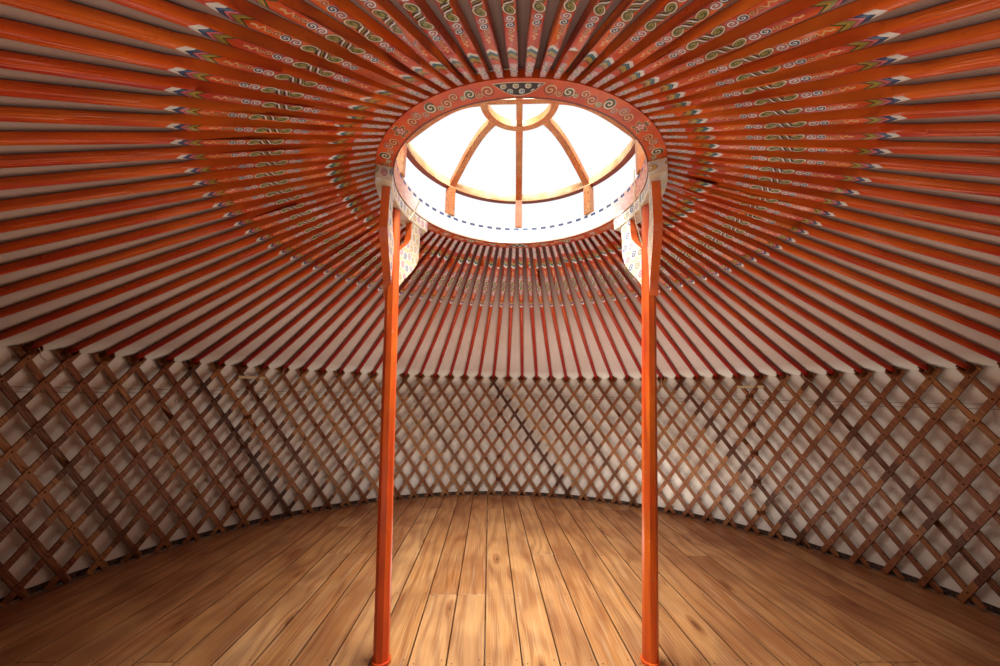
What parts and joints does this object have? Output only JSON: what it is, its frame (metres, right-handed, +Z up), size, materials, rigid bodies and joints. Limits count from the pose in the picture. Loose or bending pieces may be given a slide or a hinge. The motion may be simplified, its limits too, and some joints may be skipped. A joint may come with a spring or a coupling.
{
  "type": "lattice-walled yurt",
  "caption": "Round lattice-walled yurt on a timber deck, with painted roof poles, a raised crown on two columns, felt and canvas covers, and a door standing open.",
  "frame": {"origin": "on the ground at the centre of the round deck, under the middle bearer", "axes": "+Z up; +Y from the doorway towards the back wall; +X to the right of someone who enters"},
  "size_m": [6.0526, 7.0083, 3.207],
  "materials": {
    "rough_timber": "sawn",
    "floor_pine": "satin varnish",
    "lattice_wood": "worn",
    "pole_paint": "satin paint",
    "crown_paint": "satin paint",
    "crown_wood": "satin paint",
    "column_paint": "gloss paint",
    "wing_paint": "satin paint",
    "door_paint": "gloss paint",
    "door_leaf_paint": "gloss paint",
    "iron": "worn black",
    "canvas": "matte",
    "flap_canvas": "matte",
    "band_webbing": "matte"
  },
  "bodies": {
    "root": {"floor_bearers": "rough_timber", "floor_deck": "floor_pine", "floor_rim": "rough_timber", "door_sill": "door_paint", "door_jambs": "door_paint", "door_lintel": "door_paint", "door_leaf": "door_leaf_paint", "door_hinges": "iron", "door_handle": "iron", "door_poles": "pole_paint", "crown_ring": "crown_paint", "crown_posts": "crown_wood", "crown_middle_ring": "crown_paint", "crown_spokes": "crown_wood", "crown_hub": "crown_paint", "column_left": "column_paint", "column_right": "column_paint", "capital_left": "crown_paint", "capital_right": "crown_paint", "wings_left": "wing_paint", "wings_right": "wing_paint", "crown_cover": "flap_canvas", "wall_band_low": "band_webbing", "wall_band_high": "band_webbing", "lattice_1": "lattice_wood", "lattice_2": "lattice_wood", "lattice_3": "lattice_wood", "lattice_4": "lattice_wood", "lattice_5": "lattice_wood", "lattice_6": "lattice_wood", "roof_poles_1": "pole_paint", "roof_poles_2": "pole_paint", "roof_poles_3": "pole_paint", "roof_poles_4": "pole_paint", "roof_poles_5": "pole_paint", "roof_poles_6": "pole_paint", "wall_cover_1": "canvas", "wall_cover_2": "canvas", "wall_cover_3": "canvas", "wall_cover_4": "canvas", "wall_cover_5": "canvas", "wall_cover_6": "canvas", "roof_cover_1": "canvas", "roof_cover_2": "canvas", "roof_cover_3": "canvas", "roof_cover_4": "canvas", "roof_cover_5": "canvas", "roof_cover_6": "canvas"}
  },
  "joints": []
}
